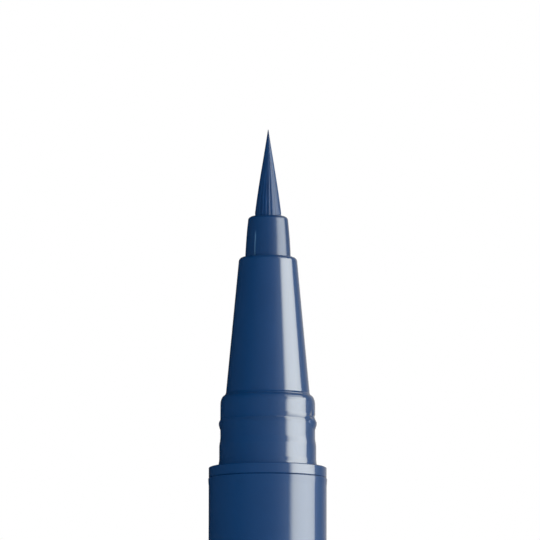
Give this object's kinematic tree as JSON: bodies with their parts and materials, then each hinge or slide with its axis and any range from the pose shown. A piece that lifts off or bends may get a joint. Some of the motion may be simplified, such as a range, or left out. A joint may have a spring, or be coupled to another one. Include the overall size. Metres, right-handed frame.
{
  "type": "liquid eyeliner pen",
  "caption": "Slim round liquid eyeliner pen with a fine brush tip, an ink tank and regulator inside, and a snap cap posted on its tail.",
  "frame": {"origin": "centre of the posted cap's closed end, which is the bottom of the standing pen", "axes": "+Z along the pen towards the brush's point, -Y towards the viewer of the picture"},
  "size_m": [0.011, 0.011, 0.1642],
  "materials": {
    "navy_gloss": "polished navy plastic",
    "bristle": "dyed fine filaments",
    "natural_plastic": "natural moulded",
    "fibre": "bonded fibre",
    "steel": "bright"
  },
  "bodies": {
    "pen": {"barrel": "navy_gloss", "front_section": "navy_gloss", "brush_holder": "navy_gloss", "bristles": "bristle", "brush_root": "bristle", "core_guide": "natural_plastic", "feed_core": "fibre", "regulator": "natural_plastic", "tank_plug": "natural_plastic", "tail_plug": "navy_gloss"},
    "ball": {"mixing_ball": "steel"},
    "cap": {"cap_shell": "navy_gloss", "inner_cap_spring": "steel"},
    "sealing_cap": {"inner_cap": "natural_plastic"}
  },
  "joints": [
    {"name": "cap_pull", "type": "slide", "parent": "pen", "child": "cap", "axis": [0, 0, -1], "range_m": [0, 0.02]},
    {"name": "inner_cap_push", "type": "slide", "parent": "cap", "child": "sealing_cap", "axis": [0, 0, -1], "range_m": [0, 0.0012], "stiffness_N_per_m": 250, "springref_m": -0.001, "deforming": ["inner_cap_spring"]},
    {"name": "ball_travel", "type": "slide", "parent": "pen", "child": "ball", "axis": [0, 0, 1], "range_m": [0, 0.0314]}
  ]
}
